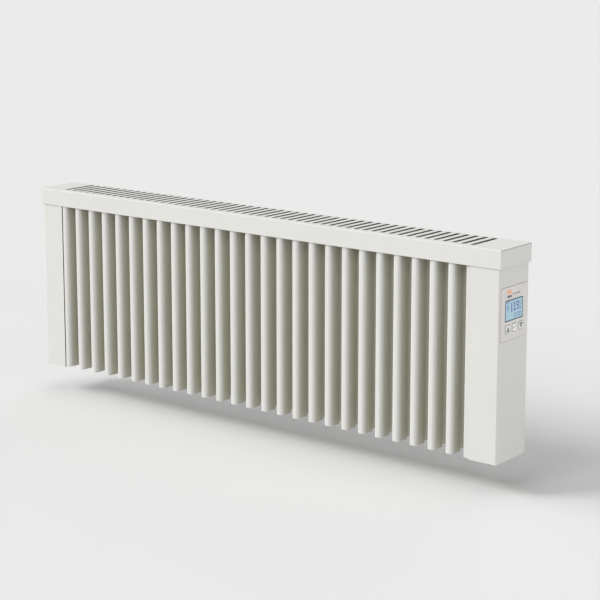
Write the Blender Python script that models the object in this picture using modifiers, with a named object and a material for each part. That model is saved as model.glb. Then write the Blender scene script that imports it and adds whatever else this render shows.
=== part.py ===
"""Wall-hung electric storage heater with a finned front, a slotted top cover and a side controller.

Frame: X along the heater with the controller at +X, Y from the room to the wall, Z up.
The origin is below the middle of the heater, level with the bottom of the end covers.
"""

import math

import bmesh
import bpy
from mathutils import Matrix, Vector

MM = 0.001
GAP = 0.3 * MM

# Overall size
WIDTH = 1180 * MM
HEIGHT = 395 * MM
COVER_DEPTH = 105 * MM
WALL_SPACE = 15 * MM
FRONT = -(COVER_DEPTH + WALL_SPACE) / 2
WALL = FRONT + COVER_DEPTH + WALL_SPACE

# Sheet metal
SHEET = 1.2 * MM
THIN_SHEET = 1.0 * MM

# Top cover
SKIRT = 35 * MM
COVER_EDGE_RADIUS = 1.6 * MM
SLOT_WIDTH = 9.4 * MM
SLOT_NEAR = 15.5 * MM
SLOT_FAR = 99.5 * MM
SLOT_SHIFT = -5 * MM
SLOTS_PER_FIN = 2

# End covers
CASE_LEFT = -584 * MM
CASE_RIGHT = 586.2 * MM
CASE_NEAR = 1.7 * MM
CASE_FAR = 102 * MM
CASE_TOP = HEIGHT - 4 * MM
CASE_EDGE_RADIUS = 2.2 * MM
LEFT_RETURN = -527.6 * MM
RIGHT_RETURN = 526 * MM

# Fins and front plate
FIN_COUNT = 26
FIN_PITCH = 40.16 * MM
FIN_WIDTH = 16.2 * MM
FIN_RADIUS = 6 * MM
FIN_NEAR = 2.4 * MM
FIN_FAR = 35.4 * MM
FIN_FIRST = -520.9 * MM
FIN_BOTTOM = 1.6 * MM
FIN_TOP = 383 * MM
FIN_ARC_STEPS = 5
FOOT = 11.5 * MM
FIRST_FOOT = 10 * MM
RELIEF_HEIGHT = 5 * MM
RELIEF_DEPTH = 4 * MM
END_FIN_NEAR = CASE_NEAR + SHEET + GAP
END_FIN_RIGHT = 545 * MM
END_FIN_RADIUS = 2.5 * MM
PLATE_NEAR = FIN_FAR + GAP

# Chamber between the fins and the back
LEFT_BULKHEAD = -541 * MM
RIGHT_BULKHEAD = 546 * MM
CHAMBER_NEAR = PLATE_NEAR + THIN_SHEET + GAP
CHAMBER_FAR = CASE_FAR - SHEET - GAP
CHAMBER_LEFT = LEFT_BULKHEAD + THIN_SHEET + GAP
CHAMBER_RIGHT = RIGHT_BULKHEAD - GAP
GRILLE_Z = 7 * MM
INLET_SLOT_NEAR = 41 * MM
INLET_SLOT_FAR = 97 * MM
SHIELD_NEAR = 91 * MM
SHIELD_THICKNESS = 0.8 * MM

# Storage core
CORE_PLATES = 3
CORE_LEFT = -500 * MM
CORE_RIGHT = 532 * MM
CORE_NEAR = 50 * MM
CORE_FAR = 78 * MM
RAIL_CLEAR = 1.5 * MM
RAIL_LIP = 11 * MM
CORE_TOP = 330 * MM
ELEMENT_RADIUS = 4 * MM
ELEMENT_HEIGHTS = (70 * MM, 170 * MM, 270 * MM)
ELEMENT_BEND = 20 * MM
ELEMENT_END = 556 * MM
GROOVE_DEPTH = 10.5 * MM
GROOVE_HALF = ELEMENT_RADIUS + 0.5 * MM

# Controller on the right end
FASCIA_NEAR = 8 * MM
FASCIA_FAR = 98.5 * MM
FASCIA_BOTTOM = 225.5 * MM
FASCIA_TOP = 323.5 * MM
FASCIA_RADIUS = 5 * MM
FASCIA_THICKNESS = 3 * MM
FASCIA_PROUD = 0.6 * MM
FASCIA_SEAM = 0.5 * MM
WINDOW_NEAR = 22 * MM
WINDOW_FAR = 83 * MM
WINDOW_BOTTOM = 260.5 * MM
WINDOW_TOP = 299.6 * MM
WINDOW_SINK = 0.2 * MM
WINDOW_CORNER = 1 * MM
MODULE_MARGINS = (3 * MM, 2 * MM)
MODULE_THICKNESS = 4 * MM
KEY_NAMES = ("key_up", "key_ok", "key_down")
KEY_DEPTHS = (31 * MM, 53.7 * MM, 76.4 * MM)
KEY_HEIGHT = 246.8 * MM
KEY_SIZE = (12 * MM, 13 * MM)
KEY_PROUD = 1.0 * MM
KEY_TRAVEL = 0.8 * MM
KEY_FLANGE = 1.3 * MM
KEY_LIP = 1.2 * MM
KEY_CORNER = 0.5 * MM
MAT_MARGIN = 12 * MM
MAT_BOTTOM = FASCIA_BOTTOM + 10 * MM
MAT_TOP = WINDOW_BOTTOM - 3 * MM
BOARD_THICKNESS = 1.6 * MM
BOARD_MARGIN = 6 * MM
HOUSING_BACK = 560 * MM
HOUSING_WALL = 2 * MM
HOUSING_MARGIN = 2 * MM

# Fittings in the right end
GLAND_X = 556 * MM
GLAND_Z = 45 * MM
GLAND_BORE = 3.75 * MM
GLAND_BODY = 6.2 * MM
GLAND_FLANGE = 9 * MM
GLAND_OUTSIDE = 6 * MM
GLAND_INSIDE = 9 * MM
FITTING_WALL = RIGHT_BULKHEAD + THIN_SHEET + GAP
FITTING_DEPTH = 76 * MM
TERMINAL_LENGTH = 14 * MM
TERMINAL_HALF = 13 * MM
TERMINAL_BOTTOM = 65 * MM
TERMINAL_TOP = 110 * MM
CUTOUT_HEIGHT = 352 * MM
CUTOUT_RADIUS = 8 * MM
CUTOUT_LENGTH = 10 * MM
LEAD_RADIUS = 1.6 * MM
LEAD_X = FITTING_WALL + 7 * MM

# Hanging rail and wall brackets
RAIL_HALF = 400 * MM
RAIL_BOTTOM = 300 * MM
RAIL_TOP = 330 * MM
RAIL_SHEET = 1.5 * MM
RAIL_LIP_FAR = 113 * MM
RAIL_LIP_BOTTOM = 317 * MM
BRACKET_X = 300 * MM
BRACKET_WIDTH = 36 * MM
BRACKET_PLATE = 3 * MM
BRACKET_BOTTOM = 60 * MM
BRACKET_TOP = 345 * MM
BRACKET_FINGER_NEAR = 107 * MM
BRACKET_STEEL = 2.5 * MM
BRACKET_SHELF_TOP = 314.5 * MM
SPACER_HEIGHT = 20 * MM
SCREW_RADIUS = 3 * MM
SCREW_HEIGHTS = (110 * MM, 290 * MM)

CIRCLE_STEPS = 16


def depth(distance):
    """Y of a point this far behind the top cover's front face."""
    return FRONT + distance


def new_collection(name):
    """Make a collection in the scene."""
    made = bpy.data.collections.new(name)
    bpy.context.scene.collection.children.link(made)
    return made


def clear_scene():
    """Remove every object of the start-up scene."""
    for old in list(bpy.data.objects):
        bpy.data.objects.remove(old, do_unlink=True)


def make_material(name, color, roughness, metallic=0.0):
    """Principled material with one colour."""
    made = bpy.data.materials.new(name)
    made.use_nodes = True
    shader = made.node_tree.nodes["Principled BSDF"]
    shader.inputs["Base Color"].default_value = (*color, 1.0)
    shader.inputs["Roughness"].default_value = roughness
    shader.inputs["Metallic"].default_value = metallic
    made.diffuse_color = (*color, 1.0)
    return made


clear_scene()
PARTS = new_collection("finned_electric_heater")
CUTTERS = new_collection("cutters")

FINISHES = {
    "painted": ((0.80, 0.80, 0.76), 0.45, 0.0),
    "galvanised": ((0.55, 0.57, 0.58), 0.40, 0.9),
    "reflector": ((0.80, 0.81, 0.82), 0.25, 1.0),
    "fireclay": ((0.55, 0.33, 0.22), 0.90, 0.0),
    "element": ((0.30, 0.29, 0.28), 0.45, 0.8),
    "fascia": ((0.78, 0.75, 0.73), 0.50, 0.0),
    "window": ((0.45, 0.66, 0.78), 0.10, 0.0),
    "display": ((0.10, 0.11, 0.13), 0.30, 0.0),
    "key": ((0.86, 0.86, 0.85), 0.45, 0.0),
    "silicone": ((0.35, 0.36, 0.38), 0.70, 0.0),
    "board": ((0.05, 0.25, 0.12), 0.45, 0.0),
    "dark_plastic": ((0.06, 0.06, 0.07), 0.50, 0.0),
    "ceramic": ((0.82, 0.80, 0.74), 0.35, 0.0),
    "insulation": ((0.55, 0.12, 0.08), 0.50, 0.0),
}


def finish(obj, name, look):
    """Name an object, give it a material of its own and put it in the parts collection."""
    obj.name = name
    obj.data.name = name
    color, roughness, metallic = FINISHES[look]
    obj.data.materials.clear()
    obj.data.materials.append(make_material(name, color, roughness, metallic))
    PARTS.objects.link(obj)
    return obj


def mesh_object(name, shape):
    """Object from a bmesh, which is freed."""
    mesh = bpy.data.meshes.new(name)
    shape.to_mesh(mesh)
    shape.free()
    return bpy.data.objects.new(name, mesh)


def block(low, high):
    """Bare box between two corners, with its origin in its middle and its size in its mesh."""
    low = Vector(low)
    high = Vector(high)
    shape = bmesh.new()
    bmesh.ops.create_cube(shape, size=1.0)
    bmesh.ops.scale(shape, vec=high - low, verts=shape.verts)
    obj = mesh_object("block", shape)
    obj.location = (low + high) / 2
    return obj


def rod(center, radius, length, axis, steps=CIRCLE_STEPS):
    """Bare cylinder along a world axis."""
    shape = bmesh.new()
    bmesh.ops.create_cone(
        shape, cap_ends=True, segments=steps, radius1=radius, radius2=radius, depth=length
    )
    turn = Vector((0, 0, 1)).rotation_difference(Vector(axis)).to_matrix().to_4x4()
    bmesh.ops.transform(shape, matrix=turn, verts=shape.verts)
    obj = mesh_object("rod", shape)
    obj.location = center
    return obj


PLANES = {
    "X": Matrix(((0, 0, 1, 0), (1, 0, 0, 0), (0, 1, 0, 0), (0, 0, 0, 1))),
    "Y": Matrix(((1, 0, 0, 0), (0, 0, -1, 0), (0, 1, 0, 0), (0, 0, 0, 1))),
    "Z": Matrix.Identity(4),
}


def extrusion(outlines, axis, low, high):
    """Solid with flat outlines, holes included, from low to high along an axis.

    Outlines are lists of (y, z) for X, (x, z) for Y and (x, y) for Z.
    """
    curve = bpy.data.curves.new("outline", "CURVE")
    curve.dimensions = "2D"
    curve.fill_mode = "BOTH"
    curve.extrude = (high - low) / 2
    for points in outlines:
        spline = curve.splines.new("POLY")
        spline.points.add(len(points) - 1)
        for point, (a, b) in zip(spline.points, points):
            point.co = (a, b, 0, 1)
        spline.use_cyclic_u = True
    guide = bpy.data.objects.new("outline", curve)
    CUTTERS.objects.link(guide)
    along = Vector({"X": (1, 0, 0), "Y": (0, 1, 0), "Z": (0, 0, 1)}[axis])
    guide.matrix_world = Matrix.Translation(along * (low + high) / 2) @ PLANES[axis]
    return curve_to_mesh(guide)


def curve_to_mesh(guide):
    """Closed mesh object in place of a curve object."""
    bpy.context.view_layer.update()
    mesh = bpy.data.meshes.new_from_object(guide.evaluated_get(bpy.context.evaluated_depsgraph_get()))
    shape = bmesh.new()
    shape.from_mesh(mesh)
    bmesh.ops.remove_doubles(shape, verts=shape.verts, dist=0.01 * MM)
    bmesh.ops.recalc_face_normals(shape, faces=shape.faces)
    shape.to_mesh(mesh)
    shape.free()
    obj = bpy.data.objects.new("solid", mesh)
    obj.matrix_world = guide.matrix_world
    bpy.data.objects.remove(guide, do_unlink=True)
    return obj


def wire(points, radius, sides=2):
    """Round wire along points in the world frame, with flat ends."""
    curve = bpy.data.curves.new("wire", "CURVE")
    curve.dimensions = "3D"
    curve.bevel_depth = radius
    curve.bevel_resolution = sides
    curve.use_fill_caps = True
    spline = curve.splines.new("POLY")
    spline.points.add(len(points) - 1)
    for point, place in zip(spline.points, points):
        point.co = (*place, 1)
    guide = bpy.data.objects.new("wire", curve)
    CUTTERS.objects.link(guide)
    return curve_to_mesh(guide)


def arc(center, radius, start, end, steps):
    """Points on a circle from one angle to another, in degrees."""
    points = []
    for step in range(steps + 1):
        angle = math.radians(start + (end - start) * step / steps)
        points.append((center[0] + radius * math.cos(angle), center[1] + radius * math.sin(angle)))
    return points


def rounded(low, high, radius, steps=4):
    """Outline of a rectangle with round corners."""
    (a0, b0), (a1, b1) = low, high
    corners = (
        (a1 - radius, b1 - radius, 0),
        (a0 + radius, b1 - radius, 90),
        (a0 + radius, b0 + radius, 180),
        (a1 - radius, b0 + radius, 270),
    )
    points = []
    for a, b, start in corners:
        points += arc((a, b), radius, start, start + 90, steps)
    return points


def stadium(x, low, high, width, steps=4):
    """Outline of a round-ended slot that runs along Y."""
    radius = width / 2
    return arc((x, high - radius), radius, 0, 180, steps) + arc((x, low + radius), radius, 180, 360, steps)


def rectangle(a0, b0, a1, b1):
    """Outline of a rectangle."""
    return [(a0, b0), (a1, b0), (a1, b1), (a0, b1)]


def cut(obj, cutter):
    """Cut one object with another by a Boolean that stays on the object."""
    cutter.name = obj.name + "_cutter"
    cutter.hide_render = True
    cutter.display_type = "WIRE"
    CUTTERS.objects.link(cutter)
    boolean = obj.modifiers.new("cut", "BOOLEAN")
    boolean.operation = "DIFFERENCE"
    boolean.solver = "EXACT"
    boolean.object = cutter


def open_shell(low, high, open_sides, radius, sheet, edge_test):
    """Folded sheet box without some of its sides, with its outer folds rounded.

    edge_test says from an edge's two corners whether that fold is rounded.
    """
    obj = block(low, high)
    shape = bmesh.new()
    shape.from_mesh(obj.data)
    shape.faces.ensure_lookup_table()
    gone = [face for face in shape.faces if any(face.normal.dot(Vector(side)) > 0.9 for side in open_sides)]
    bmesh.ops.delete(shape, geom=gone, context="FACES")
    weights = shape.edges.layers.float.new("bevel_weight_edge")
    for edge in shape.edges:
        if not edge.is_boundary and edge_test(*[vert.co for vert in edge.verts]):
            edge[weights] = 1.0
    shape.to_mesh(obj.data)
    shape.free()
    bevel = obj.modifiers.new("folds", "BEVEL")
    bevel.limit_method = "WEIGHT"
    bevel.width = radius
    bevel.segments = 3
    solidify = obj.modifiers.new("sheet", "SOLIDIFY")
    solidify.thickness = sheet
    solidify.offset = -1
    solidify.use_even_offset = True
    return obj


def shade(obj):
    """Smooth shading with sharp edges kept."""
    obj.data.shade_smooth()
    obj.data.set_sharp_from_angle(angle=math.radians(35))
    return obj


def fin_center(index):
    """X of a fin's middle, counted from 0 at the left."""
    return FIN_FIRST + index * FIN_PITCH


def make_top_grille():
    """Slotted cover that drops over the top of the case."""
    cover = open_shell(
        (-WIDTH / 2, FRONT, HEIGHT - SKIRT),
        (WIDTH / 2, FRONT + COVER_DEPTH, HEIGHT),
        [(0, 0, -1)],
        COVER_EDGE_RADIUS,
        SHEET,
        lambda a, b: True,
    )
    slots = []
    for index in range(SLOTS_PER_FIN * FIN_COUNT + 1):
        x = fin_center(0) + SLOT_SHIFT + index * FIN_PITCH / SLOTS_PER_FIN
        slots.append(stadium(x, depth(SLOT_NEAR), depth(SLOT_FAR), SLOT_WIDTH))
    finish(cover, "top_grille", "painted")
    cut(cover, extrusion(slots, "Z", HEIGHT - 2 * SHEET, HEIGHT + SHEET))


def make_end_cover(name, left, right, open_side):
    """Folded cover of one end: front, side and back walls and a bottom."""
    cover = open_shell(
        (left, depth(CASE_NEAR), 0),
        (right, depth(CASE_FAR), CASE_TOP),
        [open_side, (0, 0, 1)],
        CASE_EDGE_RADIUS,
        SHEET,
        lambda a, b: abs(a.z - b.z) > SKIRT,
    )
    return finish(cover, name, "painted")


def make_end_covers():
    """Both end covers; the right one has openings for the controller and the cable gland."""
    make_end_cover("left_end_cover", CASE_LEFT, LEFT_RETURN, (1, 0, 0))
    right = make_end_cover("right_end_cover", RIGHT_RETURN, CASE_RIGHT, (-1, 0, 0))
    aperture = rounded(
        (depth(FASCIA_NEAR - FASCIA_SEAM), FASCIA_BOTTOM - FASCIA_SEAM),
        (depth(FASCIA_FAR + FASCIA_SEAM), FASCIA_TOP + FASCIA_SEAM),
        FASCIA_RADIUS + FASCIA_SEAM,
    )
    cut(right, extrusion([aperture], "X", CASE_RIGHT - 3 * SHEET, CASE_RIGHT + SHEET))
    cut(right, rod((GLAND_X, depth(CASE_FAR), GLAND_Z), GLAND_BODY + GAP, 4 * SHEET, (0, 1, 0)))


def foot_points(wall, foot, side):
    """Section of a foot folded outwards from a fin's wall, seen from its outer side to its hollow side."""
    back = depth(FIN_FAR)
    return [
        (wall, back - THIN_SHEET),
        (wall + side * foot, back - THIN_SHEET),
        (wall + side * foot, back),
        (wall - side * THIN_SHEET, back),
    ]


def fin_outline(center, left_foot):
    """Section of a hollow fin: two walls, a nose with round corners and two feet on the front plate."""
    half = FIN_WIDTH / 2
    middle = depth(FIN_NEAR) + FIN_RADIUS
    left_corner = (center - half + FIN_RADIUS, middle)
    right_corner = (center + half - FIN_RADIUS, middle)
    hollow = FIN_RADIUS - THIN_SHEET
    outer = arc(left_corner, FIN_RADIUS, 180, 270, FIN_ARC_STEPS)
    outer += arc(right_corner, FIN_RADIUS, 270, 360, FIN_ARC_STEPS)
    inner = arc(right_corner, hollow, 360, 270, FIN_ARC_STEPS)
    inner += arc(left_corner, hollow, 270, 180, FIN_ARC_STEPS)
    left = foot_points(center - half, left_foot, -1)
    right = foot_points(center + half, FOOT, 1)
    return outer + right + inner + left[::-1]


def end_fin_outline(left):
    """Section of the end fin: a foot, a wall, a round corner and a flat that tucks behind the end cover."""
    near = depth(END_FIN_NEAR)
    corner = (left + END_FIN_RADIUS, near + END_FIN_RADIUS)
    outer = arc(corner, END_FIN_RADIUS, 180, 270, FIN_ARC_STEPS)
    inner = arc(corner, END_FIN_RADIUS - THIN_SHEET, 270, 180, FIN_ARC_STEPS)
    flat = [(END_FIN_RIGHT, near), (END_FIN_RIGHT, near + THIN_SHEET)]
    return outer + flat + inner + foot_points(left, FOOT, -1)[::-1]


def make_fin(index, outline, right):
    """One fin from its section, with the lower end of its feet relieved as far as X of right."""
    fin = extrusion([outline], "Z", FIN_BOTTOM, FIN_TOP)
    shade(finish(fin, f"fin_{index + 1:02d}", "painted"))
    low = (fin_center(index) - FIN_PITCH, depth(FIN_FAR - RELIEF_DEPTH), FIN_BOTTOM - SHEET)
    cut(fin, block(low, (right, depth(FIN_FAR) + SHEET, FIN_BOTTOM + RELIEF_HEIGHT)))


def make_fins():
    """The row of convector fins and the end fin at its right."""
    for index in range(FIN_COUNT):
        center = fin_center(index)
        left_foot = FIRST_FOOT if index == 0 else FOOT
        make_fin(index, fin_outline(center, left_foot), center + FIN_PITCH)
    wall = fin_center(FIN_COUNT) - FIN_WIDTH / 2
    make_fin(FIN_COUNT, end_fin_outline(wall), wall + FIN_WIDTH)


def make_chamber():
    """Sheets around the storage core: front plate, back panel, bulkheads, inlet grille and shield."""
    left = CHAMBER_LEFT
    right = CHAMBER_RIGHT
    low = GRILLE_Z + SHEET + GAP
    plate = block(
        (left, depth(PLATE_NEAR), FIN_BOTTOM + RELIEF_HEIGHT),
        (right, depth(PLATE_NEAR) + THIN_SHEET, FIN_TOP),
    )
    finish(plate, "front_plate", "painted")
    back = block(
        (LEFT_RETURN + GAP, depth(CASE_FAR) - SHEET, FIN_BOTTOM),
        (RIGHT_RETURN - GAP, depth(CASE_FAR), FIN_TOP),
    )
    finish(back, "back_panel", "painted")
    wall = block(
        (LEFT_BULKHEAD, depth(PLATE_NEAR), low),
        (LEFT_BULKHEAD + THIN_SHEET, depth(CHAMBER_FAR), FIN_TOP),
    )
    finish(wall, "left_bulkhead", "galvanised")
    holes = []
    for height in ELEMENT_HEIGHTS:
        for offset in (-ELEMENT_BEND, ELEMENT_BEND):
            center = (depth(CORE_NEAR + GROOVE_DEPTH / 2), height + offset)
            holes.append(arc(center, ELEMENT_RADIUS + GAP, 0, 330, 11))
    outline = rectangle(depth(PLATE_NEAR), low, depth(CHAMBER_FAR), FIN_TOP)
    wall = extrusion([outline] + holes, "X", RIGHT_BULKHEAD, RIGHT_BULKHEAD + THIN_SHEET)
    finish(wall, "right_bulkhead", "galvanised")
    slots = []
    for index in range(FIN_COUNT):
        x = fin_center(index) + FIN_PITCH / 2
        slots.append(stadium(x, depth(INLET_SLOT_NEAR), depth(INLET_SLOT_FAR), SLOT_WIDTH))
    outline = rectangle(left, depth(CHAMBER_NEAR), right, depth(CHAMBER_FAR))
    grille = extrusion([outline] + slots, "Z", GRILLE_Z, GRILLE_Z + SHEET)
    finish(grille, "bottom_grille", "painted")
    shield = block(
        (left, depth(SHIELD_NEAR), low), (right, depth(SHIELD_NEAR) + SHIELD_THICKNESS, FIN_TOP)
    )
    finish(shield, "heat_shield", "reflector")


def make_core():
    """Fireclay plates on their rail, with the heating elements in grooves of their front."""
    floor = GRILLE_Z + SHEET + GAP
    near = depth(CORE_NEAR)
    far = depth(CORE_FAR)
    rail_near = near - RAIL_CLEAR
    rail_far = far + RAIL_CLEAR
    rail = [
        (rail_near, floor),
        (rail_far, floor),
        (rail_far, floor + RAIL_LIP),
        (rail_far - SHEET, floor + RAIL_LIP),
        (rail_far - SHEET, floor + SHEET),
        (rail_near + SHEET, floor + SHEET),
        (rail_near + SHEET, floor + RAIL_LIP),
        (rail_near, floor + RAIL_LIP),
    ]
    finish(extrusion([rail], "X", CORE_LEFT, CORE_RIGHT), "core_rail", "galvanised")

    grooved = [(far, CORE_TOP), (far, floor + SHEET + GAP), (near, floor + SHEET + GAP)]
    for height in ELEMENT_HEIGHTS:
        for offset in (-ELEMENT_BEND, ELEMENT_BEND):
            low = height + offset - GROOVE_HALF
            high = height + offset + GROOVE_HALF
            grooved += [(near, low), (near + GROOVE_DEPTH, low), (near + GROOVE_DEPTH, high), (near, high)]
    grooved.append((near, CORE_TOP))
    length = (CORE_RIGHT - CORE_LEFT) / CORE_PLATES
    for index in range(CORE_PLATES):
        start = CORE_LEFT + index * length
        plate = extrusion([grooved], "X", start + GAP, start + length - GAP)
        finish(plate, f"core_plate_{index + 1}", "fireclay")

    y = near + GROOVE_DEPTH / 2
    for index, height in enumerate(ELEMENT_HEIGHTS):
        bend = arc((CORE_LEFT, height), ELEMENT_BEND, 90, 270, 10)
        path = [(ELEMENT_END, y, height + ELEMENT_BEND)]
        path += [(x, y, z) for x, z in bend]
        path.append((ELEMENT_END, y, height - ELEMENT_BEND))
        element = shade(wire(path, ELEMENT_RADIUS))
        finish(element, f"heating_element_{index + 1}", "element")


def key_outline(center, clearance):
    """Outline of a key, grown by a clearance."""
    half_y = KEY_SIZE[0] / 2 + clearance
    half_z = KEY_SIZE[1] / 2 + clearance
    return rounded(
        (center - half_y, KEY_HEIGHT - half_z), (center + half_y, KEY_HEIGHT + half_z), KEY_CORNER, 2
    )


def make_controller():
    """Fascia, display, keys, board and housing of the controller on the right end."""
    face = CASE_RIGHT + FASCIA_PROUD
    rear = face - FASCIA_THICKNESS
    window = (
        (depth(WINDOW_NEAR), WINDOW_BOTTOM),
        (depth(WINDOW_FAR), WINDOW_TOP),
    )
    outlines = [
        rounded((depth(FASCIA_NEAR), FASCIA_BOTTOM), (depth(FASCIA_FAR), FASCIA_TOP), FASCIA_RADIUS),
        rounded(*window, WINDOW_CORNER, 2),
    ]
    outlines += [key_outline(depth(center), GAP) for center in KEY_DEPTHS]
    finish(extrusion(outlines, "X", rear, face), "fascia", "fascia")

    pane = rounded(
        (window[0][0] + GAP, window[0][1] + GAP),
        (window[1][0] - GAP, window[1][1] - GAP),
        WINDOW_CORNER - GAP,
        2,
    )
    pane_face = face - WINDOW_SINK
    finish(extrusion([pane], "X", rear + GAP, pane_face), "display_window", "window")

    module_back = rear - GAP - MODULE_THICKNESS
    margin_y, margin_z = MODULE_MARGINS
    module = block(
        (module_back, depth(WINDOW_NEAR - margin_y), WINDOW_BOTTOM - margin_z),
        (rear - GAP, depth(WINDOW_FAR + margin_y), WINDOW_TOP + margin_z),
    )
    finish(module, "display_module", "display")

    for name, center in zip(KEY_NAMES, KEY_DEPTHS):
        make_key(name, depth(center), rear, face)

    mat_face = rear - GAP - KEY_FLANGE - KEY_TRAVEL - GAP
    mat = block(
        (module_back, depth(KEY_DEPTHS[0] - MAT_MARGIN), MAT_BOTTOM),
        (mat_face, depth(KEY_DEPTHS[2] + MAT_MARGIN), MAT_TOP),
    )
    finish(mat, "key_mat", "silicone")

    board_face = module_back - GAP
    board = block(
        (board_face - BOARD_THICKNESS, depth(FASCIA_NEAR + BOARD_MARGIN), FASCIA_BOTTOM + BOARD_MARGIN),
        (board_face, depth(FASCIA_FAR - BOARD_MARGIN), FASCIA_TOP - BOARD_MARGIN),
    )
    finish(board, "control_board", "board")

    housing = open_shell(
        (HOUSING_BACK, depth(FASCIA_NEAR + HOUSING_MARGIN), FASCIA_BOTTOM + HOUSING_MARGIN),
        (rear - GAP, depth(FASCIA_FAR - HOUSING_MARGIN), FASCIA_TOP - HOUSING_MARGIN),
        [(1, 0, 0)],
        HOUSING_WALL,
        HOUSING_WALL,
        lambda a, b: abs(a.x - b.x) > HOUSING_WALL,
    )
    finish(housing, "control_housing", "dark_plastic")


def make_key(name, y, rear, face):
    """One key: a cap through the fascia on a wider flange behind it, one closed solid."""
    half_y = KEY_SIZE[0] / 2 + KEY_LIP
    half_z = KEY_SIZE[1] / 2 + KEY_LIP
    flange_face = rear - GAP
    key = block(
        (flange_face - KEY_FLANGE, y - half_y, KEY_HEIGHT - half_z),
        (flange_face, y + half_y, KEY_HEIGHT + half_z),
    )
    shape = bmesh.new()
    shape.from_mesh(key.data)
    front = [item for item in shape.faces if item.normal.x > 0.9]
    bmesh.ops.inset_individual(shape, faces=front, thickness=KEY_LIP, use_even_offset=True)
    cap = bmesh.ops.extrude_discrete_faces(shape, faces=front)["faces"]
    rise = face + KEY_PROUD - flange_face
    bmesh.ops.translate(shape, vec=(rise, 0, 0), verts=cap[0].verts)
    shape.to_mesh(key.data)
    shape.free()
    finish(key, name, "key")


def make_fittings():
    """Terminal block, thermal cut-out, cable gland and the leads between them."""
    middle = depth(FITTING_DEPTH)
    terminals = block(
        (FITTING_WALL, middle - TERMINAL_HALF, TERMINAL_BOTTOM),
        (FITTING_WALL + TERMINAL_LENGTH, middle + TERMINAL_HALF, TERMINAL_TOP),
    )
    finish(terminals, "terminal_block", "ceramic")
    center = (FITTING_WALL + CUTOUT_LENGTH / 2, middle, CUTOUT_HEIGHT)
    finish(rod(center, CUTOUT_RADIUS, CUTOUT_LENGTH, (1, 0, 0)), "thermal_cutout", "dark_plastic")

    outside = depth(CASE_FAR + GLAND_OUTSIDE)
    inside = depth(CASE_FAR - GLAND_INSIDE)
    gland = [
        (GLAND_BORE, outside),
        (GLAND_FLANGE, outside),
        (GLAND_FLANGE, depth(CASE_FAR) + GAP),
        (GLAND_BODY, depth(CASE_FAR) + GAP),
        (GLAND_BODY, inside),
        (GLAND_BORE, inside),
    ]
    finish(turned(gland, (GLAND_X, GLAND_Z)), "cable_gland", "dark_plastic")

    housing_x = HOUSING_BACK - GAP - LEAD_RADIUS
    supply = [
        (LEAD_X, middle, TERMINAL_TOP + GAP),
        (LEAD_X, middle, 215 * MM),
        (LEAD_X + 1 * MM, middle, 226 * MM),
        (housing_x, middle, 236 * MM),
    ]
    finish(shade(wire(supply, LEAD_RADIUS)), "supply_lead", "insulation")
    heater = [
        (housing_x, middle + 10 * MM, 300 * MM),
        (LEAD_X, middle + 8 * MM, 312 * MM),
        (LEAD_X, middle + 2 * MM, 330 * MM),
        (LEAD_X, middle, CUTOUT_HEIGHT - CUTOUT_RADIUS - GAP),
    ]
    finish(shade(wire(heater, LEAD_RADIUS)), "heater_lead", "insulation")


def turned(profile, place):
    """Ring turned about an axis along Y through (x, z), from a closed section of (radius, y)."""
    shape = bmesh.new()
    verts = [shape.verts.new((radius, y, 0)) for radius, y in profile]
    edges = [shape.edges.new((verts[i - 1], verts[i])) for i in range(len(verts))]
    bmesh.ops.spin(
        shape,
        geom=verts + edges,
        axis=(0, 1, 0),
        cent=(0, 0, 0),
        angle=math.tau,
        steps=CIRCLE_STEPS,
        use_merge=True,
    )
    bmesh.ops.remove_doubles(shape, verts=shape.verts, dist=0.01 * MM)
    bmesh.ops.recalc_face_normals(shape, faces=shape.faces)
    obj = mesh_object("turned", shape)
    obj.location = (place[0], 0, place[1])
    return obj


def make_hanging():
    """Rail on the back and the two wall brackets that it hooks onto."""
    near = depth(CASE_FAR) + GAP
    lip_far = depth(RAIL_LIP_FAR)
    rail = [
        (near, RAIL_BOTTOM),
        (near + RAIL_SHEET, RAIL_BOTTOM),
        (near + RAIL_SHEET, RAIL_TOP - RAIL_SHEET),
        (lip_far - RAIL_SHEET, RAIL_TOP - RAIL_SHEET),
        (lip_far - RAIL_SHEET, RAIL_LIP_BOTTOM),
        (lip_far, RAIL_LIP_BOTTOM),
        (lip_far, RAIL_TOP),
        (near, RAIL_TOP),
    ]
    finish(extrusion([rail], "X", -RAIL_HALF, RAIL_HALF), "hanging_rail", "galvanised")

    plate = WALL - BRACKET_PLATE
    finger = depth(BRACKET_FINGER_NEAR)
    bracket = [
        (WALL, BRACKET_BOTTOM),
        (WALL, BRACKET_TOP),
        (plate, BRACKET_TOP),
        (plate, BRACKET_SHELF_TOP),
        (finger + BRACKET_STEEL, BRACKET_SHELF_TOP),
        (finger + BRACKET_STEEL, RAIL_TOP - RAIL_SHEET - GAP),
        (finger, RAIL_TOP - RAIL_SHEET - GAP),
        (finger, BRACKET_SHELF_TOP - BRACKET_STEEL),
        (plate, BRACKET_SHELF_TOP - BRACKET_STEEL),
        (plate, BRACKET_BOTTOM + SPACER_HEIGHT),
        (near, BRACKET_BOTTOM + SPACER_HEIGHT),
        (near, BRACKET_BOTTOM + SPACER_HEIGHT - BRACKET_STEEL),
        (plate, BRACKET_BOTTOM + SPACER_HEIGHT - BRACKET_STEEL),
        (plate, BRACKET_BOTTOM),
    ]
    for name, side in (("wall_bracket_left", -1), ("wall_bracket_right", 1)):
        x = side * BRACKET_X
        solid = extrusion([bracket], "X", x - BRACKET_WIDTH / 2, x + BRACKET_WIDTH / 2)
        finish(solid, name, "galvanised")
        for height in SCREW_HEIGHTS:
            cut(solid, rod((x, WALL, height), SCREW_RADIUS, 4 * BRACKET_PLATE, (0, 1, 0)))


make_top_grille()
make_end_covers()
make_fins()
make_chamber()
make_core()
make_controller()
make_fittings()
make_hanging()
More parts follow.
